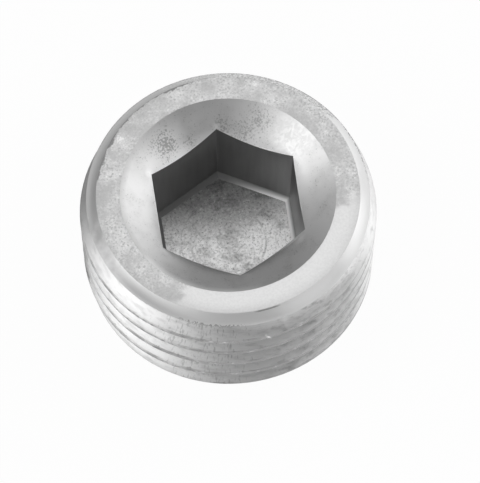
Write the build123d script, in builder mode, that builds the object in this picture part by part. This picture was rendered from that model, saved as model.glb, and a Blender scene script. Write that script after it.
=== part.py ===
from build123d import *
from math import atan, ceil, degrees, radians, tan
import os

os.makedirs("parts", exist_ok=True)

# Hexagon socket pipe plug with the taper pipe thread R 1/2: 14 threads to the inch, 1:16 taper.
# Sizes in millimetres. The origin is the centre of the small end face, and +Z points to the socket.

# Body: the taper has its major diameter at the gauge length above the small end
body_length = 10.0
major_diameter = 20.955
gauge_length = 8.2
taper = 1 / 16
collar_setback = 0.55
top_chamfer = 0.7
bottom_chamfer = 0.65

# Right-hand thread of the 55 degree form, with flat crests and roots
thread_pitch = 1.814
flank_angle = 27.5
groove_height_at_x = 1.92

# Annular groove of the thread form under the collar, where the thread runs out, deeper by the clearance
relief_clearance = 0.05

# Countersink and hexagon socket, whose drafted walls measure the key size at the key depth
countersink_diameter = 15.2
countersink_slope = 32.0
key_size = 10.0
key_depth = 2.0
socket_draft = 2.5
wall_depth = 7.1
base_chamfer = 0.35

# Radius of the cone through the thread crests: largest at the top face
half_taper = taper / 2
taper_angle = degrees(atan(half_taper))
top_crest_radius = major_diameter / 2 + (body_length - gauge_length) * half_taper
bottom_crest_radius = top_crest_radius - body_length * half_taper

# Thread form: the depth and the flats follow from the pitch
thread_depth = 0.6403 * thread_pitch
root_flat = thread_pitch / 6
flank_rise = tan(radians(flank_angle))
overrun = thread_pitch / 10

# Collar, set back from the thread crests, and the annular groove under it
collar_radius = top_crest_radius - collar_setback
collar_height = body_length - top_chamfer
top_face_radius = collar_radius - top_chamfer
relief_root_radius = top_crest_radius - thread_depth - relief_clearance
relief_top = collar_height - (collar_radius - relief_root_radius) * flank_rise
relief_bottom = relief_top - root_flat
clear_radius = top_crest_radius + overrun

# Helical groove, from below the small end up into the annular groove
helix_base = groove_height_at_x - 2 * thread_pitch
helix_top = (relief_top + relief_bottom) / 2
cutter_height = thread_depth + overrun
cutter_half_width = root_flat / 2 + cutter_height * flank_rise

# Hexagon across the flats at the top face and at the foot of the walls
draft_slope = tan(radians(socket_draft))
mouth_size = key_size + 2 * key_depth * draft_slope
foot_size = mouth_size - 2 * wall_depth * draft_slope

with BuildPart() as plug_body:
    # Taper blank
    with BuildSketch(Plane.XZ):
        with BuildLine():
            Polyline(
                (0, 0),
                (bottom_crest_radius - bottom_chamfer, 0),
                (bottom_crest_radius + bottom_chamfer * half_taper, bottom_chamfer),
                (top_crest_radius, body_length),
                (0, body_length),
                close=True,
            )
        make_face()
    revolve(axis=Axis.Z)

    # Helical groove of the taper thread, cut one turn after the other
    for turn in range(ceil((helix_top - helix_base) / thread_pitch)):
        turn_base = helix_base + turn * thread_pitch
        turn_height = min(thread_pitch, helix_top - turn_base)
        root_radius = bottom_crest_radius + turn_base * half_taper - thread_depth
        cutter_radius = root_radius + cutter_height
        with BuildLine() as turn_path:
            Helix(thread_pitch, turn_height, root_radius, center=(0, 0, turn_base), cone_angle=taper_angle)
        with BuildSketch(Plane.XZ):
            with BuildLine():
                Polyline(
                    (root_radius, turn_base - root_flat / 2),
                    (cutter_radius, turn_base - cutter_half_width),
                    (cutter_radius, turn_base + cutter_half_width),
                    (root_radius, turn_base + root_flat / 2),
                    close=True,
                )
            make_face()
        sweep(path=turn_path.line, is_frenet=True, mode=Mode.SUBTRACT)

    # Annular groove, collar and top chamfer, turned off the threaded blank
    with BuildSketch(Plane.XZ):
        with BuildLine():
            Polyline(
                (clear_radius, relief_bottom - (clear_radius - relief_root_radius) * flank_rise),
                (relief_root_radius, relief_bottom),
                (relief_root_radius, relief_top),
                (collar_radius, collar_height),
                (top_face_radius - overrun, body_length + overrun),
                (clear_radius, body_length + overrun),
                close=True,
            )
        make_face()
    revolve(axis=Axis.Z, mode=Mode.SUBTRACT)

    # Hexagon socket with drafted walls
    with BuildSketch(Plane.XY.offset(body_length)):
        RegularPolygon(mouth_size / 2, 6, major_radius=False, rotation=30)
    extrude(amount=-wall_depth, taper=socket_draft, mode=Mode.SUBTRACT)

    # Chamfered base of the socket
    with BuildSketch(Plane.XY.offset(body_length - wall_depth)):
        RegularPolygon(foot_size / 2, 6, major_radius=False, rotation=30)
    extrude(amount=-base_chamfer, taper=45, mode=Mode.SUBTRACT)

    # Countersink
    with BuildSketch(Plane.XZ):
        with BuildLine():
            Polyline(
                (0, body_length),
                (countersink_diameter / 2, body_length),
                (0, body_length - countersink_diameter / 2 * tan(radians(countersink_slope))),
                close=True,
            )
        make_face()
    revolve(axis=Axis.Z, mode=Mode.SUBTRACT)

plug_body.part.label = "plug_body"
export_step(plug_body.part, "parts/plug_body.step")
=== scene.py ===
import math

import bpy
from mathutils import Matrix, Vector


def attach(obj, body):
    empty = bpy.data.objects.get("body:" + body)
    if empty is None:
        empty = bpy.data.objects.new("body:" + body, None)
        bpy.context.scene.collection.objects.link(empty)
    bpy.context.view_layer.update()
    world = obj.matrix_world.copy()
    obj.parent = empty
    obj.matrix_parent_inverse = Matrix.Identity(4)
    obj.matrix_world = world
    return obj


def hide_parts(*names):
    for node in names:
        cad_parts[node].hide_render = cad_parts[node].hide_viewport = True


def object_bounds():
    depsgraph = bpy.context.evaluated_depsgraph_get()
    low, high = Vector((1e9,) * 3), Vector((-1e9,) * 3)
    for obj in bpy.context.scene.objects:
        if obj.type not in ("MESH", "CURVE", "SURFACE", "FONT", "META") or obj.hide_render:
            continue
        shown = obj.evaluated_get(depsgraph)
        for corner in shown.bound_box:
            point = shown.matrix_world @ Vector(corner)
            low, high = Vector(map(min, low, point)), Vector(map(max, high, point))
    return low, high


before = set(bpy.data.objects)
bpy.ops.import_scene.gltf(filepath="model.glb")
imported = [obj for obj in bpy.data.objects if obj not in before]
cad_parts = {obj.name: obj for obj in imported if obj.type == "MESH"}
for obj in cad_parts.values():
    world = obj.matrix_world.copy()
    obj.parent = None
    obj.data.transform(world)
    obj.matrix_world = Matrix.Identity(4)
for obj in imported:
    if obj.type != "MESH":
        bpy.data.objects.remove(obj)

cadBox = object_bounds()
mm = 0.001
asColour = {"output": 2, "data_type": "RGBA"}      # a Mix node takes its two colours at 6 and 7
timesPlus = {"operation": "MULTIPLY_ADD"}          # the first times the second plus the third


# Helpers

def hexColour(code):
    channels = [int(code[i:i + 2], 16) / 255 for i in (1, 3, 5)]
    return [c / 12.92 if c <= 0.04045 else ((c + 0.055) / 1.055) ** 2.4 for c in channels] + [1.0]


def spot(x, y, z):
    return (x * mm, y * mm, z * mm)


def addNode(tree, kind, inputs, output=0, **settings):
    node = tree.nodes.new("ShaderNode" + kind)
    for name, value in settings.items():
        setattr(node, name, value)
    for name, value in inputs.items():
        if isinstance(value, bpy.types.NodeSocket):
            tree.links.new(value, node.inputs[name])
        else:
            node.inputs[name].default_value = value
    return node.outputs[output]


# Plug body

body = {
    "crestRadius": 10.534 * mm,      # of the crest cone at the socket end
    "halfTaper": 1 / 32,
    "length": 10.0 * mm,
    "collarRadius": 9.984 * mm,
    "collarHeight": 9.3 * mm,
    "ringRadius": 7.6 * mm,          # rim of the countersink
    "socketFloor": 2.55 * mm,        # its height
    "socketReach": 6.0 * mm,         # nothing of the socket lies further out
    "mouthFoot": 8.0 * mm,           # the mouth of the socket lies above
    "weld": 0.0005 * mm,
    "edgeRound": 0.06 * mm,
    "edgeSegments": 2,
    "edgeAngle": math.radians(20),
    "smoothAngle": math.radians(30),
}


def atMouth(vertex):
    return vertex.co.z > body["mouthFoot"] and vertex.co.xy.length < body["socketReach"]


def makePlugBody():
    bpy.ops.object.select_all(action="DESELECT")
    piece = bpy.data.objects.new("plugBody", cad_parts["plug_body"].data.copy())
    bpy.context.collection.objects.link(piece)
    bpy.context.view_layer.objects.active = piece
    piece.select_set(True)
    bpy.ops.mesh.customdata_custom_splitnormals_clear()
    bpy.ops.object.mode_set(mode="EDIT")
    bpy.ops.mesh.select_all(action="SELECT")
    bpy.ops.mesh.remove_doubles(threshold=body["weld"])
    bpy.ops.object.mode_set(mode="OBJECT")

    # every edge is rounded a little but the thin ones of the socket's mouth
    mouth = piece.vertex_groups.new(name="socketMouth")
    mouth.add([v.index for v in piece.data.vertices if atMouth(v)], 1.0, "REPLACE")
    edges = piece.modifiers.new("edgeRound", "BEVEL")
    edges.width = body["edgeRound"]
    edges.segments = body["edgeSegments"]
    edges.limit_method = "ANGLE"
    edges.angle_limit = body["edgeAngle"]
    edges.loop_slide = False
    edges.vertex_group = "socketMouth"
    edges.invert_vertex_group = True
    bpy.ops.object.modifier_apply(modifier="edgeRound")
    bpy.ops.object.shade_smooth_by_angle(angle=body["smoothAngle"])
    return piece


plugBody = makePlugBody()
print("plug body", len(plugBody.data.polygons))


# Finishes of the steel, all in object space. Each Turn is in degrees from +X, and each Noise takes its scale
# from a size in mm. Each Fray says how far the noise moves a border, and each Step where a mark starts,
# where it is full and how strong it gets.

def startSteel(name, roughness):
    steel = bpy.data.materials.new(name)
    steel.use_nodes = True
    shader = steel.node_tree.nodes["Principled BSDF"]
    shader.inputs["Metallic"].default_value = 1.0
    shader.inputs["Roughness"].default_value = roughness
    place = addNode(steel.node_tree, "TexCoord", {}, "Object")
    return steel, steel.node_tree, shader, place


def polar(tree, place):
    # distance from the axis and the unit arrow pointing away from it
    flat = addNode(tree, "VectorMath", {0: place, 1: (1, 1, 0)}, operation="MULTIPLY")
    radius = addNode(tree, "VectorMath", {0: flat}, "Value", operation="LENGTH")
    arrow = addNode(tree, "VectorMath", {0: flat}, operation="NORMALIZE")
    return radius, arrow


def facing(tree, arrow, turn):
    # cosine of the angle from this turn: 1 on its side, -1 on the far side
    side = (math.cos(math.radians(turn)), math.sin(math.radians(turn)), 0)
    return addNode(tree, "VectorMath", {0: arrow, 1: side}, "Value", operation="DOT_PRODUCT")


def onSide(tree, arrow, turn, step):
    return addNode(tree, "MapRange", {"Value": facing(tree, arrow, turn), **step})


def nearTo(tree, place, centre, reach, core=0.0, most=1.0):
    # fades from the core out to the reach
    away = addNode(tree, "VectorMath", {0: place, 1: centre}, "Value", operation="DISTANCE")
    return addNode(tree, "MapRange", {"Value": away, "From Min": reach, "From Max": core, "To Max": most})


face = {
    "clean": hexColour("#D6D6D6"),
    "wornAndShaded": hexColour("#E4E4E4"),
    "dullAndShade": hexColour("#CACACA"),
    "oilyAndShaded": hexColour("#989898"),
    "darkSpeck": hexColour("#8E8E8E"),
    "glintSpeck": hexColour("#FFFFFF"),
    "cleanRoughness": 0.3,
    "wornRoughness": 0.45,
    "middle": 8.45 * mm,          # halfway between the ring's two edges
    "outer": body["collarRadius"] + body["collarHeight"] - body["length"],      # the chamfer is at 45 degrees
    "cleanTurn": -67.0,
    "cleanReach": 0.56,           # cosine of half the clean arc
    "cleanLean": 75.0,            # widens the arc outwards, per metre
    "cleanFray": 0.5,
    "cleanGrit": 0.12,            # as Fray, with the fine grain
    "cleanBorder": (-0.03, 0.05),
    "oilyTurn": 136.0,
    "oilyPull": 0.8,              # share of the side against that of the rim
    "oilyFray": 1.1,
    "grainNoise": {"Scale": 1 / (0.15 * mm), "Detail": 2.0},
    "patchNoise": {"Scale": 1 / (1.5 * mm), "Detail": 5.0, "Roughness": 0.65},
    "turningNoise": {"Scale": 1 / (0.15 * mm)},      # coarser than the real marks, to show
    "rimStep": {"From Min": 8.5 * mm, "From Max": 9.3 * mm, "To Max": 0.75},
    "oilyStep": {"From Min": 1.93, "From Max": 2.0},
    "wornStep": {"From Min": 0.38, "From Max": 0.62},
    "speckleStep": {"From Min": 0.4, "From Max": 0.62, "To Min": 0.16, "To Max": 0.6},
    "darkStep": {"From Min": 0.52, "From Max": 0.7},
    "glintStep": {"From Min": 0.42, "From Max": 0.3},
    "chipStep": {"From Min": 0.74, "From Max": 0.86, "To Max": 0.9},
    "faintStep": {"From Min": 0.35, "From Max": 0.75, "To Max": 0.15},
    "chips": {spot(3.17, 8.4, 10.0): 0.5 * mm, spot(-6.9, 5.4, 10.0): 0.7 * mm},
    "chipPull": 0.4,
    "relief": {"Distance": 0.008 * mm, "Strength": 0.3},
}


def makeFacedSteel():
    # faced on the lathe: one arc clean and bright, the rest dulled and speckled by handling, its light specks
    # painted glints
    steel, tree, shader, place = startSteel("facedSteel", face["cleanRoughness"])
    radius, arrow = polar(tree, place)
    grain = addNode(tree, "TexNoise", {"Vector": place, **face["grainNoise"]})
    patches = addNode(tree, "TexNoise", {"Vector": place, **face["patchNoise"]})

    # clean arc with a ragged border that leans outwards
    side = facing(tree, arrow, face["cleanTurn"])
    leaning = addNode(tree, "Math", {0: radius, 1: face["cleanLean"], 2: side}, **timesPlus)
    frayed = addNode(tree, "Math", {0: patches, 1: face["cleanFray"], 2: leaning}, **timesPlus)
    ragged = addNode(tree, "Math", {0: grain, 1: face["cleanGrit"], 2: frayed}, **timesPlus)
    fray = (face["cleanFray"] + face["cleanGrit"]) / 2
    border = face["cleanReach"] + face["cleanLean"] * face["middle"] + fray
    start, full = [border + shift for shift in face["cleanBorder"]]
    clean = addNode(tree, "MapRange", {"Value": ragged, "From Min": start, "From Max": full})

    # oily smooth patches that cut in from the outer rim
    oilySide = facing(tree, arrow, face["oilyTurn"])
    rim = addNode(tree, "MapRange", {"Value": radius, **face["rimStep"]})
    oilySum = addNode(tree, "Math", {0: oilySide, 1: face["oilyPull"], 2: rim}, **timesPlus)
    oilyRagged = addNode(tree, "Math", {0: patches, 1: face["oilyFray"], 2: oilySum}, **timesPlus)
    oilyAndShaded = addNode(tree, "MapRange", {"Value": oilyRagged, **face["oilyStep"]})

    # worn and dull patches with dark specks, light specks that are painted glints, and a few chips whose
    # glint is painted bright
    wornPatch = addNode(tree, "MapRange", {"Value": patches, **face["wornStep"]})
    wornAndShaded = addNode(tree, "Mix", {0: wornPatch, 6: face["dullAndShade"], 7: face["wornAndShaded"]}, **asColour)
    speckle = addNode(tree, "MapRange", {"Value": patches, **face["speckleStep"]})
    darkness = addNode(tree, "MapRange", {"Value": grain, **face["darkStep"]})
    dark = addNode(tree, "Math", {0: darkness, 1: speckle}, operation="MULTIPLY")
    lightness = addNode(tree, "MapRange", {"Value": grain, **face["glintStep"]})
    light = addNode(tree, "Math", {0: lightness, 1: speckle}, operation="MULTIPLY")
    pitted = addNode(tree, "Mix", {0: dark, 6: wornAndShaded, 7: face["darkSpeck"]}, **asColour)
    speckled = addNode(tree, "Mix", {0: light, 6: pitted, 7: face["glintSpeck"]}, **asColour)
    for centre, reach in face["chips"].items():
        near = nearTo(tree, place, centre, reach, most=face["chipPull"])
        glint = addNode(tree, "Math", {0: grain, 1: near}, operation="ADD")
        chip = addNode(tree, "MapRange", {"Value": glint, **face["chipStep"]})
        speckled = addNode(tree, "Mix", {0: chip, 6: speckled, 7: face["glintSpeck"]}, **asColour)
    oiledAndShaded = addNode(tree, "Mix", {0: oilyAndShaded, 6: speckled, 7: face["oilyAndShaded"]}, **asColour)
    faint = addNode(tree, "MapRange", {"Value": grain, **face["faintStep"]})
    grained = addNode(tree, "Mix", {0: faint, 6: face["clean"], 7: face["darkSpeck"]}, **asColour)
    colour = addNode(tree, "Mix", {0: clean, 6: oiledAndShaded, 7: grained}, **asColour)
    tree.links.new(colour, shader.inputs["Base Color"])

    # turning marks show on the clean arc, grain on the rest
    ends = {"To Min": face["wornRoughness"], "To Max": face["cleanRoughness"]}
    rough = addNode(tree, "MapRange", {"Value": clean, **ends})
    tree.links.new(rough, shader.inputs["Roughness"])
    turning = addNode(tree, "TexNoise", {"W": radius, **face["turningNoise"]}, noise_dimensions="1D")
    relief = addNode(tree, "Mix", {0: clean, 2: grain, 3: turning})
    bump = addNode(tree, "Bump", {"Height": relief, **face["relief"]})
    tree.links.new(bump, shader.inputs["Normal"])
    return steel


cone = {
    "clean": hexColour("#D2D2D2"),
    "veil": hexColour("#B4B4B4"),
    "pit": hexColour("#848484"),
    "burrHighlight": hexColour("#FFFFFF"),
    "scuffDark": hexColour("#C6C6C6"),
    "scuffLight": hexColour("#D9D9D9"),
    "sideHighlight": hexColour("#F6F6F6"),
    "roughness": 0.4,
    "grainNoise": {"Scale": 1 / (0.13 * mm), "Detail": 2.0, "Roughness": 0.6},
    "cloudNoise": {"Scale": 1 / (1.3 * mm), "Detail": 4.0, "Roughness": 0.6},
    "scuffNoise": {"Scale": 1 / (0.4 * mm), "Detail": 5.0, "Distortion": 1.0},
    "veilStep": {"From Min": 0.45, "From Max": 0.7, "To Max": 0.35},
    "sideHighlightTurn": 132.0,
    "sideHighlightStep": {"From Min": 0.93, "From Max": 0.995},
    "innerStep": {"From Min": 7.5 * mm, "From Max": 6.2 * mm, "To Min": 0.25},
    "stains": {            # centre: reach, depth
        spot(-3.8, 5.0, 8.9): (1.5 * mm, 0.34),
        spot(-2.0, 5.0, 8.8): (0.7 * mm, 0.22),
        spot(1.9, 5.2, 8.8): (1.5 * mm, 0.2),
        spot(3.3, 6.0, 9.3): (1.5 * mm, 0.22),
        spot(0.3, 5.9, 8.9): (1.0 * mm, 0.22),
    },
    "stainFray": 0.4,
    "pitStep": {"From Min": 0.83, "From Max": 0.98, "To Max": 0.6},
    "burrEdge": 5.1 * mm,         # from the axis, square to a flat
    "burrWidth": 0.05 * mm,
    "burrFray": 0.1 * mm,
    "burrStep": {"From Min": 0.45, "From Max": 0.6, "To Min": 0.1, "To Max": 0.6},
    "longBurr": {"centre": spot(3.9, -3.6, 8.9), "reach": 1.6 * mm, "core": 0.4 * mm},
    "longBurrWidth": 0.14 * mm,
    "burrHighlightSpots": {         # centre: reach
        spot(-5.2, 3.0, 8.95): 0.4 * mm,
        spot(0.0, 5.95, 8.95): 0.4 * mm,
        spot(4.4, -3.5, 9.0): 0.6 * mm,
    },
    "scuffs": {"centre": spot(5.2, 4.1, 9.4), "reach": 2.2 * mm, "core": 0.5 * mm},
    "scuffStep": {"From Min": 0.42, "From Max": 0.6},
    "rimWidth": 0.45 * mm,        # how far the soft rim reaches in
    "rimMost": 0.8,
    "rimHighlightTurn": -116.0,
    "rimShadeTurn": 176.0,
    "rimSideStep": {"From Min": 0.78, "From Max": 0.95},
    "relief": {"Distance": 0.03 * mm, "Strength": 0.2},
}


def makeCountersunkSteel():
    # smooth countersink: a painted highlight on one side, stained with fine dark pits near the key socket
    steel, tree, shader, place = startSteel("countersunkSteel", cone["roughness"])
    radius, arrow = polar(tree, place)
    grain = addNode(tree, "TexNoise", {"Vector": place, **cone["grainNoise"]})
    clouds = addNode(tree, "TexNoise", {"Vector": place, **cone["cloudNoise"]})
    veil = addNode(tree, "MapRange", {"Value": clouds, **cone["veilStep"]})
    cloudy = addNode(tree, "Mix", {0: veil, 6: cone["clean"], 7: cone["veil"]}, **asColour)
    # painted highlight on one side of the countersink, fading towards the socket
    highlightSide = onSide(tree, arrow, cone["sideHighlightTurn"], cone["sideHighlightStep"])
    inner = addNode(tree, "MapRange", {"Value": radius, **cone["innerStep"]})
    highlightShare = addNode(tree, "Math", {0: highlightSide, 1: inner}, operation="MULTIPLY")
    sideHighlight = addNode(tree, "Mix", {0: highlightShare, 6: cloudy, 7: cone["sideHighlight"]}, **asColour)
    stained = 0.0
    for centre, (reach, depth) in cone["stains"].items():
        stain = nearTo(tree, place, centre, reach, most=depth)
        stained = addNode(tree, "Math", {0: stained, 1: stain}, operation="MAXIMUM")
    ragged = addNode(tree, "Math", {0: clouds, 1: cone["stainFray"], 2: grain}, **timesPlus)
    level = addNode(tree, "Math", {0: stained, 1: ragged}, operation="ADD")
    pits = addNode(tree, "MapRange", {"Value": level, **cone["pitStep"]})
    pitted = addNode(tree, "Mix", {0: pits, 6: sideHighlight, 7: cone["pit"]}, **asColour)

    # broken burr along the six edges of the mouth, its glint painted bright, long and wide at one place,
    # spots at some corners
    across = 0.0
    for turn in (0, 60, 120):
        square = addNode(tree, "Math", {0: facing(tree, place, turn)}, operation="ABSOLUTE")
        across = addNode(tree, "Math", {0: across, 1: square}, operation="MAXIMUM")
    edge = addNode(tree, "Math", {0: grain, 1: cone["burrFray"], 2: across}, **timesPlus)
    unbroken = nearTo(tree, place, **cone["longBurr"])
    wide = addNode(tree, "Math", {0: unbroken, 1: -cone["longBurrWidth"], 2: edge}, **timesPlus)
    ends = {"From Min": cone["burrEdge"] + cone["burrWidth"], "From Max": cone["burrEdge"]}
    onEdge = addNode(tree, "MapRange", {"Value": wide, **ends})
    broken = addNode(tree, "MapRange", {"Value": clouds, **cone["burrStep"]})
    kept = addNode(tree, "Math", {0: broken, 1: unbroken}, operation="MAXIMUM")
    burrHighlight = addNode(tree, "Math", {0: onEdge, 1: kept}, operation="MULTIPLY")
    for centre, reach in cone["burrHighlightSpots"].items():
        near = nearTo(tree, place, centre, reach)
        bright = addNode(tree, "Math", {0: near, 1: grain}, operation="MULTIPLY")
        burrHighlight = addNode(tree, "Math", {0: burrHighlight, 1: bright}, operation="MAXIMUM")

    # veined scuffs on one side
    scuffNear = nearTo(tree, place, **cone["scuffs"])
    veins = addNode(tree, "TexNoise", {"Vector": place, **cone["scuffNoise"]})
    veined = addNode(tree, "MapRange", {"Value": veins, **cone["scuffStep"]})
    scuff = addNode(tree, "Mix", {0: veined, 6: cone["scuffDark"], 7: cone["scuffLight"]}, **asColour)
    scuffed = addNode(tree, "Mix", {0: scuffNear, 6: pitted, 7: scuff}, **asColour)

    # the rim is a little rounded, so it gets a painted highlight on one side and painted shade on another
    # before it meets the face
    rimStart = body["ringRadius"] - cone["rimWidth"]
    ends = {"From Min": rimStart, "From Max": body["ringRadius"], "To Max": cone["rimMost"]}
    rim = addNode(tree, "MapRange", {"Value": radius, **ends})
    rimLitAndShaded = scuffed
    for turn, tone in ((cone["rimHighlightTurn"], cone["burrHighlight"]), (cone["rimShadeTurn"], cone["veil"])):
        rimSide = onSide(tree, arrow, turn, cone["rimSideStep"])
        rimSoft = addNode(tree, "Math", {0: rim, 1: rimSide}, operation="MULTIPLY")
        rimLitAndShaded = addNode(tree, "Mix", {0: rimSoft, 6: rimLitAndShaded, 7: tone}, **asColour)
    # the burrs' painted highlight goes over everything else
    colour = addNode(tree, "Mix", {0: burrHighlight, 6: rimLitAndShaded, 7: cone["burrHighlight"]}, **asColour)
    tree.links.new(colour, shader.inputs["Base Color"])
    bump = addNode(tree, "Bump", {"Height": clouds, **cone["relief"]})
    tree.links.new(bump, shader.inputs["Normal"])
    return steel


thread = {
    "clean": hexColour("#DADADA"),
    "crestWearAndShade": hexColour("#707070"),
    "crestFlatShade": hexColour("#828282"),
    "paintedHighlight": hexColour("#FCFCFC"),
    "fleck": hexColour("#7A7A7A"),
    "tick": hexColour("#7A7A7A"),
    "oilyAndShaded": hexColour("#9C9C9C"),
    "roughness": 0.4,
    "nickNoise": {"Scale": 1 / (0.5 * mm), "Detail": 4.0, "Roughness": 0.7},
    "fadeNoise": {"Scale": 1 / (1.8 * mm), "Detail": 2.0},
    "fleckNoise": {"Scale": 1 / (0.32 * mm), "Detail": 4.0, "Roughness": 0.65},
    "tickNoise": {"Scale": 1 / (0.15 * mm), "Detail": 2.0},
    "streakNoise": {"Scale": 1 / (0.12 * mm), "Detail": 3.0},
    "crestTurn": -150.0,
    "reachStep": {            # how far the crest's wear and painted shade go down the flanks, at a nick the most
        "From Min": 0.57, "From Max": 0.75, "To Min": 0.08 * mm, "To Max": 0.22 * mm,
    },
    "sideShadeStep": {"From Min": 0.1, "From Max": 0.85, "To Min": 0.05, "To Max": 0.55},
    "fadeStep": {"From Min": 0.42, "From Max": 0.62, "To Min": 0.15},
    "crestFlat": 0.15 * mm,
    "flatStep": {"From Min": 0.65, "From Max": 0.3, "To Max": 0.75},
    "thinStep": {"From Min": 0.6, "From Max": 0.95, "To Max": 0.19},
    "patchyStep": {"From Min": 0.3, "From Max": 0.44, "To Min": 0.15},
    "fleckTurn": -50.0,
    "fleckStretch": (0.35, 0.35, 1.8),
    "gripStep": {"From Min": 0.7, "From Max": 0.97, "To Max": 0.13},
    "fleckStep": {"From Min": 0.64, "From Max": 0.78, "To Max": 0.38},
    "tickTurn": -108.0,
    "tickRise": 0.8,
    "tickGripStep": {"From Min": 0.9, "From Max": 0.99, "To Min": -0.1, "To Max": 0.05},
    "tickStep": {"From Min": 0.6, "From Max": 0.72, "To Max": 0.4},
    "startTurn": -60.0,
    "startSideStep": {"From Min": 0.8, "From Max": 0.95},
    "startHighStep": {"From Min": 8.45 * mm, "From Max": 8.6 * mm},      # just under the collar
    "startFray": 0.5 * mm,
    "streakRun": 0.12,            # squeezes the streaks' pattern round the thread
    "streakStep": {"From Min": 0.48, "From Max": 0.7, "To Max": 0.24},
    "oilyTurn": 150.0,
    "oilyFray": 0.2,
    "oilyStep": {"From Min": 0.85, "From Max": 1.05, "To Max": 0.7},
    "scratchPlace": spot(1.36, -10.24, 7.63),
    "scratchReach": 1.5 * mm,
    "scratchSizes": {         # along it and across it
        (0.787, -0.573, -0.227): 0.6 * mm,
        (0.613, 0.690, 0.384): 0.2 * mm,
    },
    "scratchSoft": 0.07 * mm,
    "scratchMost": 0.82,
    "relief": {"Distance": 0.015 * mm, "Strength": 0.2},
}


def makeThreadCutSteel():
    # cut thread: bright flanks, thin dark crests with small nicks, darkened by wear and painted shade, flecks
    # and ticks where it was gripped, and a painted highlight under the collar
    steel, tree, shader, place = startSteel("threadCutSteel", thread["roughness"])
    radius, arrow = polar(tree, place)
    height = addNode(tree, "SeparateXYZ", {"Vector": place}, "Z")
    foot = body["crestRadius"] - body["length"] * body["halfTaper"]
    crestThere = addNode(tree, "Math", {0: height, 1: body["halfTaper"], 2: foot}, **timesPlus)
    depth = addNode(tree, "Math", {0: crestThere, 1: radius}, operation="SUBTRACT")

    # crests, nicked here and there, darkened by wear and painted shade, more on one side than on the other
    nicks = addNode(tree, "TexNoise", {"Vector": place, **thread["nickNoise"]})
    reach = addNode(tree, "MapRange", {"Value": nicks, **thread["reachStep"]})
    onCrest = addNode(tree, "Math", {0: depth, 1: reach}, operation="LESS_THAN")
    crestSide = facing(tree, arrow, thread["crestTurn"])
    sideShade = addNode(tree, "MapRange", {"Value": crestSide, **thread["sideShadeStep"]})
    fading = addNode(tree, "TexNoise", {"Vector": place, **thread["fadeNoise"]})
    fade = addNode(tree, "MapRange", {"Value": fading, **thread["fadeStep"]})
    wornAndShaded = addNode(tree, "Math", {0: onCrest, 1: sideShade}, operation="MULTIPLY")
    crestWearAndShade = addNode(tree, "Math", {0: wornAndShaded, 1: fade}, operation="MULTIPLY")

    # the narrow flats on the crests get painted shade, in patches
    outward = addNode(tree, "TexCoord", {}, "Normal")
    lift = addNode(tree, "SeparateXYZ", {"Vector": outward}, "Z")
    flat = addNode(tree, "MapRange", {"Value": lift, **thread["flatStep"]})
    outer = addNode(tree, "Math", {0: depth, 1: thread["crestFlat"]}, operation="LESS_THAN")
    thin = addNode(tree, "MapRange", {"Value": crestSide, **thread["thinStep"]})
    thinned = addNode(tree, "Math", {0: nicks, 1: thin}, operation="SUBTRACT")
    patchy = addNode(tree, "MapRange", {"Value": thinned, **thread["patchyStep"]})
    shadedFlat = addNode(tree, "Math", {0: flat, 1: outer}, operation="MULTIPLY")
    dullAndShade = addNode(tree, "Math", {0: shadedFlat, 1: patchy}, operation="MULTIPLY")

    # flecks drawn out along the thread, ticks across it
    along = addNode(tree, "VectorMath", {0: place, 1: thread["fleckStretch"]}, operation="MULTIPLY")
    flecks = addNode(tree, "TexNoise", {"Vector": along, **thread["fleckNoise"]})
    grip = onSide(tree, arrow, thread["fleckTurn"], thread["gripStep"])
    fleckLevel = addNode(tree, "Math", {0: flecks, 1: grip}, operation="ADD")
    fleck = addNode(tree, "MapRange", {"Value": fleckLevel, **thread["fleckStep"]})
    girth = (body["crestRadius"], body["crestRadius"], 0)
    rise = addNode(tree, "VectorMath", {0: place, 1: (0, 0, thread["tickRise"])}, operation="MULTIPLY")
    across = addNode(tree, "VectorMath", {0: arrow, 1: girth, 2: rise}, **timesPlus)
    ticks = addNode(tree, "TexNoise", {"Vector": across, **thread["tickNoise"]})
    tickGrip = onSide(tree, arrow, thread["tickTurn"], thread["tickGripStep"])
    tickLevel = addNode(tree, "Math", {0: ticks, 1: tickGrip}, operation="ADD")
    tick = addNode(tree, "MapRange", {"Value": tickLevel, **thread["tickStep"]})

    # a painted highlight just under the collar where the thread starts, on one side
    above = addNode(tree, "Math", {0: flecks, 1: thread["startFray"], 2: height}, **timesPlus)
    high = addNode(tree, "MapRange", {"Value": above, **thread["startHighStep"]})
    startSide = onSide(tree, arrow, thread["startTurn"], thread["startSideStep"])
    paintedHighlight = addNode(tree, "Math", {0: high, 1: startSide}, operation="MULTIPLY")
    cut = addNode(tree, "Mix", {0: paintedHighlight, 6: thread["clean"], 7: thread["paintedHighlight"]}, **asColour)

    # faint streaks from the cutting tool, and oil left on one side
    run = tuple(thread["streakRun"] * length for length in girth)
    upright = addNode(tree, "VectorMath", {0: place, 1: (0, 0, 1)}, operation="MULTIPLY")
    lane = addNode(tree, "VectorMath", {0: arrow, 1: run, 2: upright}, **timesPlus)
    streaks = addNode(tree, "TexNoise", {"Vector": lane, **thread["streakNoise"]})
    streak = addNode(tree, "MapRange", {"Value": streaks, **thread["streakStep"]})
    streaked = addNode(tree, "Mix", {0: streak, 6: cut, 7: thread["tick"]}, **asColour)
    oilySide = facing(tree, arrow, thread["oilyTurn"])
    oilyRagged = addNode(tree, "Math", {0: fading, 1: thread["oilyFray"], 2: oilySide}, **timesPlus)
    oilAndShade = addNode(tree, "MapRange", {"Value": oilyRagged, **thread["oilyStep"]})
    oiledAndShaded = addNode(tree, "Mix", {0: oilAndShade, 6: streaked, 7: thread["oilyAndShaded"]}, **asColour)

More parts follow.
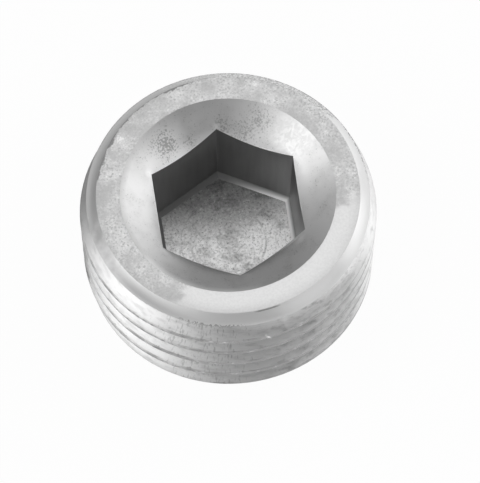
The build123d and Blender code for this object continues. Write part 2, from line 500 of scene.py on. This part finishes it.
    flecked = addNode(tree, "Mix", {0: fleck, 6: oiledAndShaded, 7: thread["fleck"]}, **asColour)
    ticked = addNode(tree, "Mix", {0: tick, 6: flecked, 7: thread["tick"]}, **asColour)
    dulled = addNode(tree, "Mix", {0: dullAndShade, 6: ticked, 7: thread["crestFlatShade"]}, **asColour)
    crested = addNode(tree, "Mix", {0: crestWearAndShade, 6: dulled, 7: thread["crestWearAndShade"]}, **asColour)

    # one short scratch across the thread, its glint painted bright
    fromScratch = addNode(tree, "VectorMath", {0: place, 1: thread["scratchPlace"]}, operation="SUBTRACT")
    away = addNode(tree, "VectorMath", {0: fromScratch}, "Value", operation="LENGTH")
    scratch = addNode(tree, "Math", {0: away, 1: thread["scratchReach"]}, operation="LESS_THAN")
    for course, size in thread["scratchSizes"].items():
        offset = addNode(tree, "VectorMath", {0: fromScratch, 1: course}, "Value", operation="DOT_PRODUCT")
        off = addNode(tree, "Math", {0: offset}, operation="ABSOLUTE")
        end = size / 2
        ends = {"From Min": end, "From Max": end - thread["scratchSoft"], "To Max": thread["scratchMost"]}
        inside = addNode(tree, "MapRange", {"Value": off, **ends})
        scratch = addNode(tree, "Math", {0: scratch, 1: inside}, operation="MULTIPLY")
    colour = addNode(tree, "Mix", {0: scratch, 6: crested, 7: thread["paintedHighlight"]}, **asColour)
    tree.links.new(colour, shader.inputs["Base Color"])
    bump = addNode(tree, "Bump", {"Height": flecks, **thread["relief"]})
    tree.links.new(bump, shader.inputs["Normal"])
    return steel


collar = {
    "clean": hexColour("#E2E2E2"),
    "oilyAndShaded": hexColour("#B4B4B4"),
    "line": hexColour("#8E8E8E"),
    "speck": hexColour("#A0A0A0"),
    "roughness": 0.36,
    "cloudNoise": {"Scale": 1 / (0.9 * mm), "Detail": 4.0},
    "fineNoise": {"Scale": 1 / (0.3 * mm), "Detail": 2.0},
    "oilyTurn": 146.0,
    "oilyFray": 0.6,
    "oilyStep": {"From Min": 0.75, "From Max": 1.1},
    "wornTurn": 80.0,
    "wornFray": 0.8,
    "wornStep": {"From Min": 1.0, "From Max": 1.15, "To Max": 0.9},
    "speckStep": {"From Min": 0.62, "From Max": 0.4},
    "lineStep": {"From Min": 0.4, "From Max": 0.6, "To Max": 0.12 * mm},      # width of the broken line
    "frontTurn": -105.0,
    "frontStep": {"From Min": 0.96, "From Max": 0.99, "To Max": 0.7},
    "backTurn": 75.0,
    "backStep": {"From Min": 0.2, "From Max": 0.5, "To Max": 0.85},
    "nickTurn": -81.0,
    "nickStep": {"From Min": 0.9945, "From Max": 0.998, "To Max": 0.7},
    "nickWidth": 0.08 * mm,
    "relief": {"Distance": 0.01 * mm, "Strength": 0.15},
}


def makeChamferedSteel():
    # satin chamfer, oily on the same side as the face, with a broken dark line along its lower edge
    steel, tree, shader, place = startSteel("chamferedSteel", collar["roughness"])
    radius, arrow = polar(tree, place)
    clouds = addNode(tree, "TexNoise", {"Vector": place, **collar["cloudNoise"]})
    grain = addNode(tree, "TexNoise", {"Vector": place, **face["grainNoise"]})
    oilySide = facing(tree, arrow, collar["oilyTurn"])
    oilyRagged = addNode(tree, "Math", {0: clouds, 1: collar["oilyFray"], 2: oilySide}, **timesPlus)
    oilyAndShaded = addNode(tree, "MapRange", {"Value": oilyRagged, **collar["oilyStep"]})
    wornSide = facing(tree, arrow, collar["wornTurn"])
    wornRagged = addNode(tree, "Math", {0: clouds, 1: collar["wornFray"], 2: wornSide}, **timesPlus)
    wornAndShaded = addNode(tree, "MapRange", {"Value": wornRagged, **collar["wornStep"]})
    specks = addNode(tree, "MapRange", {"Value": grain, **collar["speckStep"]})
    specked = addNode(tree, "Mix", {0: specks, 6: collar["speck"], 7: collar["clean"]}, **asColour)
    handled = addNode(tree, "Mix", {0: wornAndShaded, 6: collar["clean"], 7: specked}, **asColour)
    satin = addNode(tree, "Mix", {0: oilyAndShaded, 6: handled, 7: collar["oilyAndShaded"]}, **asColour)

    # the line shows at the front and along the back, and a nick darkens the upper edge
    reach = addNode(tree, "MapRange", {"Value": grain, **collar["lineStep"]})
    rim = addNode(tree, "Math", {0: radius, 1: reach}, operation="ADD")
    edge = addNode(tree, "Math", {0: rim, 1: body["collarRadius"]}, operation="GREATER_THAN")
    front = onSide(tree, arrow, collar["frontTurn"], collar["frontStep"])
    back = onSide(tree, arrow, collar["backTurn"], collar["backStep"])
    either = addNode(tree, "Math", {0: front, 1: back}, operation="MAXIMUM")
    lowLine = addNode(tree, "Math", {0: edge, 1: either}, operation="MULTIPLY")
    nick = onSide(tree, arrow, collar["nickTurn"], collar["nickStep"])
    top = addNode(tree, "Math", {0: radius, 1: face["outer"] + collar["nickWidth"]}, operation="LESS_THAN")
    highLine = addNode(tree, "Math", {0: top, 1: nick}, operation="MULTIPLY")
    line = addNode(tree, "Math", {0: lowLine, 1: highLine}, operation="MAXIMUM")
    colour = addNode(tree, "Mix", {0: line, 6: satin, 7: collar["line"]}, **asColour)
    tree.links.new(colour, shader.inputs["Base Color"])
    fine = addNode(tree, "TexNoise", {"Vector": place, **collar["fineNoise"]})
    bump = addNode(tree, "Bump", {"Height": fine, **collar["relief"]})
    tree.links.new(bump, shader.inputs["Normal"])
    return steel


wall = {
    # both tones are darker than the rest of the steel: painted shade of the socket
    "dark": hexColour("#969696"),
    "light": hexColour("#A8A8A8"),
    "roughness": 0.45,
    "stroke": (1.0, 1.0, 0.08),      # draws the streaks out along the axis
    "streakNoise": {"Scale": 1 / (0.35 * mm), "Detail": 3.0},      # coarser than real ones, to show
    "relief": {"Distance": 0.01 * mm, "Strength": 0.15},
}


def makePressedSteel():
    # pressed socket walls: smooth, with faint streaks along the stroke, darker all over with painted shade of
    # the socket
    steel, tree, shader, place = startSteel("pressedSteel", wall["roughness"])
    drawn = addNode(tree, "VectorMath", {0: place, 1: wall["stroke"]}, operation="MULTIPLY")
    streaks = addNode(tree, "TexNoise", {"Vector": drawn, **wall["streakNoise"]})
    colour = addNode(tree, "Mix", {0: streaks, 6: wall["dark"], 7: wall["light"]}, **asColour)
    tree.links.new(colour, shader.inputs["Base Color"])
    bump = addNode(tree, "Bump", {"Height": streaks, **wall["relief"]})
    tree.links.new(bump, shader.inputs["Normal"])
    return steel


floorEnd = {
    "light": hexColour("#F2F2F2"),
    "grey": hexColour("#A8A8A8"),
    "shadeLight": hexColour("#AAAAAA"),
    "shadeDark": hexColour("#828282"),
    "speck": hexColour("#5A5A5A"),
    "bright": hexColour("#FFFFFF"),
    "slopeShade": hexColour("#9C9C9C"),
    "roughness": 0.45,
    "slopeRougher": 0.25,
    "slopeStart": body["socketFloor"] + 0.02 * mm,
    "cloudNoise": {"Scale": 1 / (1.4 * mm), "Detail": 6.0, "Roughness": 0.7},
    "speckNoise": {"Scale": 1 / (0.16 * mm), "Detail": 2.0},
    "gritNoise": {"Scale": 1 / (0.21 * mm), "Detail": 4.0, "Roughness": 0.7},
    "ringNoise": {"Scale": 1 / (0.35 * mm), "Detail": 2.0},      # coarser than the real turning, to show
    "sideTurn": -8.0,
    "sideSheen": 20.0,            # painted sheen: lighter away from the middle, per metre
    "paintedSheen": {"centre": spot(2.55, -0.56, 2.55), "reach": 2.1 * mm, "core": 0.4 * mm, "most": 0.16},
    "mottleStep": {"From Min": 0.38, "From Max": 0.6},
    "shadeTurn": 95.0,
    "shadeMiddle": -0.25,           # draws the painted shade further in along the middle
    "shadeFray": 3.0 * mm,
    "shadeStep": {"From Min": 1.4 * mm, "From Max": 4.2 * mm},
    "shadePatchStep": {"From Min": 0.38, "From Max": 0.66},
    "speckStep": {"From Min": 0.58, "From Max": 0.7, "To Max": 0.6},
    "gritDarkStep": {"From Min": 0.5, "From Max": 0.66, "To Max": 0.4},
    "gritGlintStep": {"From Min": 0.44, "From Max": 0.3, "To Max": 0.32},
    "ringStep": {"From Min": 0.54, "From Max": 0.64, "To Max": 0.4},
    "brokenStep": {"From Min": 0.46, "From Max": 0.54},
    "brightTurn": 5.0,
    "brightSideStep": {"From Min": 0.2, "From Max": 0.92},
    "brightLowStep": {            # painted highlight brightest at the foot of the slope
        "From Min": body["socketFloor"] + 0.36 * mm, "From Max": body["socketFloor"], "To Max": 1.6,
    },
    "relief": {"Distance": 0.03 * mm, "Strength": 0.3},
}


def makeMottledSteel():
    # closed end of the socket: mottled and speckled by swarf, faintly ringed, with a wedge of painted shade
    # from one side to the middle and painted sheen towards the sides
    steel, tree, shader, place = startSteel("mottledSteel", floorEnd["roughness"])
    radius, arrow = polar(tree, place)
    clouds = addNode(tree, "TexNoise", {"Vector": place, **floorEnd["cloudNoise"]})
    specks = addNode(tree, "TexNoise", {"Vector": place, **floorEnd["speckNoise"]})
    # painted sheen: lighter away from the middle, and in one broad spot
    sideways = facing(tree, place, floorEnd["sideTurn"])
    aside = addNode(tree, "Math", {0: sideways}, operation="ABSOLUTE")
    lighter = addNode(tree, "Math", {0: aside, 1: floorEnd["sideSheen"], 2: clouds}, **timesPlus)
    sheen = nearTo(tree, place, **floorEnd["paintedSheen"])
    lightest = addNode(tree, "Math", {0: lighter, 1: sheen}, operation="ADD")
    mottle = addNode(tree, "MapRange", {"Value": lightest, **floorEnd["mottleStep"]})
    mottled = addNode(tree, "Mix", {0: mottle, 6: floorEnd["grey"], 7: floorEnd["light"]}, **asColour)

    # painted shade in patches on one side, reaching further in along the middle
    shift = facing(tree, place, floorEnd["shadeTurn"])
    inwards = addNode(tree, "Math", {0: aside, 1: floorEnd["shadeMiddle"], 2: shift}, **timesPlus)
    ragged = addNode(tree, "Math", {0: clouds, 1: floorEnd["shadeFray"], 2: inwards}, **timesPlus)
    oilAndShade = addNode(tree, "MapRange", {"Value": ragged, **floorEnd["shadeStep"]})
    shadePatches = addNode(tree, "MapRange", {"Value": clouds, **floorEnd["shadePatchStep"]})
    oilyAndShaded = addNode(tree, "Mix", {0: shadePatches, 6: floorEnd["shadeLight"], 7: floorEnd["shadeDark"]}, **asColour)
    oiledAndShaded = addNode(tree, "Mix", {0: oilAndShade, 6: mottled, 7: oilyAndShaded}, **asColour)
    speck = addNode(tree, "MapRange", {"Value": specks, **floorEnd["speckStep"]})
    specked = addNode(tree, "Mix", {0: speck, 6: oiledAndShaded, 7: floorEnd["speck"]}, **asColour)

    # fine grit with painted glints, and broken turning rings
    grit = addNode(tree, "TexNoise", {"Vector": place, **floorEnd["gritNoise"]})
    rings = addNode(tree, "TexNoise", {"W": radius, **floorEnd["ringNoise"]}, noise_dimensions="1D")
    gritDark = addNode(tree, "MapRange", {"Value": grit, **floorEnd["gritDarkStep"]})
    ringLine = addNode(tree, "MapRange", {"Value": rings, **floorEnd["ringStep"]})
    broken = addNode(tree, "MapRange", {"Value": clouds, **floorEnd["brokenStep"]})
    ringDark = addNode(tree, "Math", {0: ringLine, 1: broken}, operation="MULTIPLY")
    fineDark = addNode(tree, "Math", {0: gritDark, 1: ringDark}, operation="MAXIMUM")
    gritty = addNode(tree, "Mix", {0: fineDark, 6: specked, 7: floorEnd["speck"]}, **asColour)
    gritGlint = addNode(tree, "MapRange", {"Value": grit, **floorEnd["gritGlintStep"]})
    glinting = addNode(tree, "Mix", {0: gritGlint, 6: gritty, 7: floorEnd["bright"]}, **asColour)

    # the slope between floor and walls gets painted shade, with a painted highlight on one side only
    height = addNode(tree, "SeparateXYZ", {"Vector": place}, "Z")
    onSlope = addNode(tree, "Math", {0: height, 1: floorEnd["slopeStart"]}, operation="GREATER_THAN")
    low = addNode(tree, "MapRange", {"Value": height, **floorEnd["brightLowStep"]})
    brightSide = onSide(tree, arrow, floorEnd["brightTurn"], floorEnd["brightSideStep"])
    paintedHighlight = addNode(tree, "Math", {0: low, 1: brightSide}, operation="MULTIPLY", use_clamp=True)
    slope = addNode(tree, "Mix", {0: paintedHighlight, 6: floorEnd["slopeShade"], 7: floorEnd["bright"]}, **asColour)
    colour = addNode(tree, "Mix", {0: onSlope, 6: glinting, 7: slope}, **asColour)
    tree.links.new(colour, shader.inputs["Base Color"])
    roughness = {1: floorEnd["slopeRougher"], 2: floorEnd["roughness"]}
    rough = addNode(tree, "Math", {0: onSlope, **roughness}, **timesPlus)
    tree.links.new(rough, shader.inputs["Roughness"])
    relief = addNode(tree, "Math", {0: rings, 1: grit}, operation="ADD")
    bump = addNode(tree, "Bump", {"Height": relief, **floorEnd["relief"]})
    tree.links.new(bump, shader.inputs["Normal"])
    return steel


finishes = {
    "face": makeFacedSteel(),
    "cone": makeCountersunkSteel(),
    "thread": makeThreadCutSteel(),
    "collar": makeChamferedSteel(),
    "wall": makePressedSteel(),
    "floor": makeMottledSteel(),
}

zones = {
    "steep": 0.3,                 # a wall's normal rises less than this
    "level": 0.9,                 # and the face's more than this
    "hair": 0.001 * mm,           # slack where heights are compared
    "endTop": 1.0 * mm,           # the small end lies below
    "floorTop": 4.0 * mm,         # the socket's floor and slope lie below
    "coneFoot": 5.0 * mm,         # the countersink lies above
    "rimMargin": 0.05 * mm,
    "collarMargin": 0.1 * mm,
}


def finishOf(polygon):
    radius = polygon.center.xy.length
    height = polygon.center.z
    lift = polygon.normal.z
    if radius < body["socketReach"] and height > zones["endTop"]:
        if abs(lift) < zones["steep"]:
            return "wall"
        if height < zones["floorTop"]:
            return "floor"
    if height > body["length"] - zones["hair"] and lift > zones["level"]:
        return "face"
    if radius < body["ringRadius"] + zones["rimMargin"] and height > zones["coneFoot"]:
        return "cone"
    if height > body["collarHeight"] - zones["collarMargin"]:
        return "collar"
    return "thread" if height > zones["hair"] else "face"


plugBody.data.materials.clear()
for finish in finishes.values():
    plugBody.data.materials.append(finish)
for polygon in plugBody.data.polygons:
    polygon.material_index = list(finishes).index(finishOf(polygon))
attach(plugBody, "root")
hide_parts("plug_body")
print("finishes", len(finishes))

# Camera

camera = {
    "azimuth": -8.1,
    "elevation": 63.5,
    "roll": -0.2,
    "distance": 600 * mm,
    "aimRight": 0.82 * mm,
    "aimDown": 3.29 * mm,
    "lens": 637.6,
    "clip": (0.01, 10.0),
}


def makeCamera():
    a, e = math.radians(camera["azimuth"]), math.radians(camera["elevation"])
    right = Vector((math.cos(a), math.sin(a), 0))
    up = Vector((-math.sin(a) * math.sin(e), math.cos(a) * math.sin(e), math.cos(e)))
    back = right.cross(up)
    aim = Vector((0, 0, cadBox[1].z)) + right * camera["aimRight"] - up * camera["aimDown"]
    lens = bpy.data.cameras.new("viewCamera")
    lens.lens = camera["lens"]
    lens.clip_start, lens.clip_end = camera["clip"]
    view = bpy.data.objects.new("viewCamera", lens)
    bpy.context.collection.objects.link(view)
    turn = Matrix((right, up, back)).transposed().to_4x4()
    roll = Matrix.Rotation(math.radians(camera["roll"]), 4, "Z")
    view.matrix_world = Matrix.Translation(aim + back * camera["distance"]) @ turn @ roll
    bpy.context.scene.camera = view
    return right


viewRight = makeCamera()
print("camera")

# Light: square soft panels in a white tent, each given by its direction (right, away, up), size and radiance

panels = {
    "topBack": ((0.0, 0.45, 0.89), 0.36, 1.06),
    "leftHigh": ((-0.66, -0.10, 0.74), 0.36, 1.80),
    "leftFront": ((-0.50, -0.50, 0.70), 0.32, 0.65),
    "rightHigh": ((0.70, 0.35, 0.60), 0.36, 1.24),
    "rightLow": ((0.96, 0.15, 0.20), 0.42, 1.01),
    "rightBack": ((0.62, 0.75, 0.24), 0.34, 1.03),
    "rightFront": ((0.72, -0.55, 0.42), 0.40, 0.61),
    "leftLow": ((-0.93, -0.05, 0.30), 0.40, 0.52),
    "leftBack": ((-0.70, 0.50, 0.50), 0.36, 0.25),
    "frontLow": ((0.0, -0.90, 0.40), 0.50, 0.20),
    "frontLeft": ((-0.50, -0.75, 0.42), 0.36, 0.21),
}
panelDistance = 0.6
airTone = 0.28


def makePanels():
    away = Vector((0, 0, 1)).cross(viewRight)
    for name, ((x, y, z), size, radiance) in panels.items():
        direction = (viewRight * x + away * y + Vector((0, 0, z))).normalized()
        lamp = bpy.data.lights.new(name, "AREA")
        lamp.shape = "SQUARE"
        lamp.size = size
        lamp.energy = radiance * math.pi * size ** 2
        panel = bpy.data.objects.new(name, lamp)
        bpy.context.collection.objects.link(panel)
        turn = direction.to_track_quat("Z", "Y").to_matrix().to_4x4()
        panel.matrix_world = Matrix.Translation(direction * panelDistance) @ turn


makePanels()

air = bpy.data.worlds.new("studioAir")
bpy.context.scene.world = air
air.use_nodes = True
air.node_tree.nodes["Background"].inputs["Color"].default_value = (airTone, airTone, airTone, 1)
air.node_tree.nodes["Background"].inputs["Strength"].default_value = 1.0
print("light")

# Floor

paper = {
    "size": 1.2,
    "drop": 0.02 * mm,            # keeps it clear of the small end
    "tone": hexColour("#F8F8F8"),
    "roughness": 0.9,
    "glow": 0.96,                 # share of plain white where it is seen directly or mirrored
}


def makeFloor():
    # matt paper: plain white where it is seen, with the plug's soft shadow
    bpy.ops.object.select_all(action="DESELECT")
    bpy.ops.mesh.primitive_plane_add(size=paper["size"], location=(0, 0, -paper["drop"]))
    floor = bpy.context.object
    floor.name = "floor"
    sheet = bpy.data.materials.new("mattPaper")
    sheet.use_nodes = True
    tree = sheet.node_tree
    shader = tree.nodes["Principled BSDF"]
    shader.inputs["Base Color"].default_value = paper["tone"]
    shader.inputs["Roughness"].default_value = paper["roughness"]
    rays = tree.nodes.new("ShaderNodeLightPath")
    straight, mirrored = rays.outputs["Is Camera Ray"], rays.outputs["Is Glossy Ray"]
    seen = addNode(tree, "Math", {0: straight, 1: mirrored}, operation="MAXIMUM")
    through = addNode(tree, "Math", {0: seen, 1: rays.outputs["Is Transmission Ray"]}, operation="MAXIMUM")
    share = addNode(tree, "Math", {0: through, 1: paper["glow"]}, operation="MULTIPLY")
    white = addNode(tree, "Emission", {"Color": (1, 1, 1, 1), "Strength": 1.0})
    blend = addNode(tree, "MixShader", {0: share, 1: shader.outputs[0], 2: white})
    tree.links.new(blend, tree.nodes["Material Output"].inputs["Surface"])
    floor.data.materials.append(sheet)


makeFloor()
print("floor")

bpy.context.scene.view_settings.view_transform = "Standard"
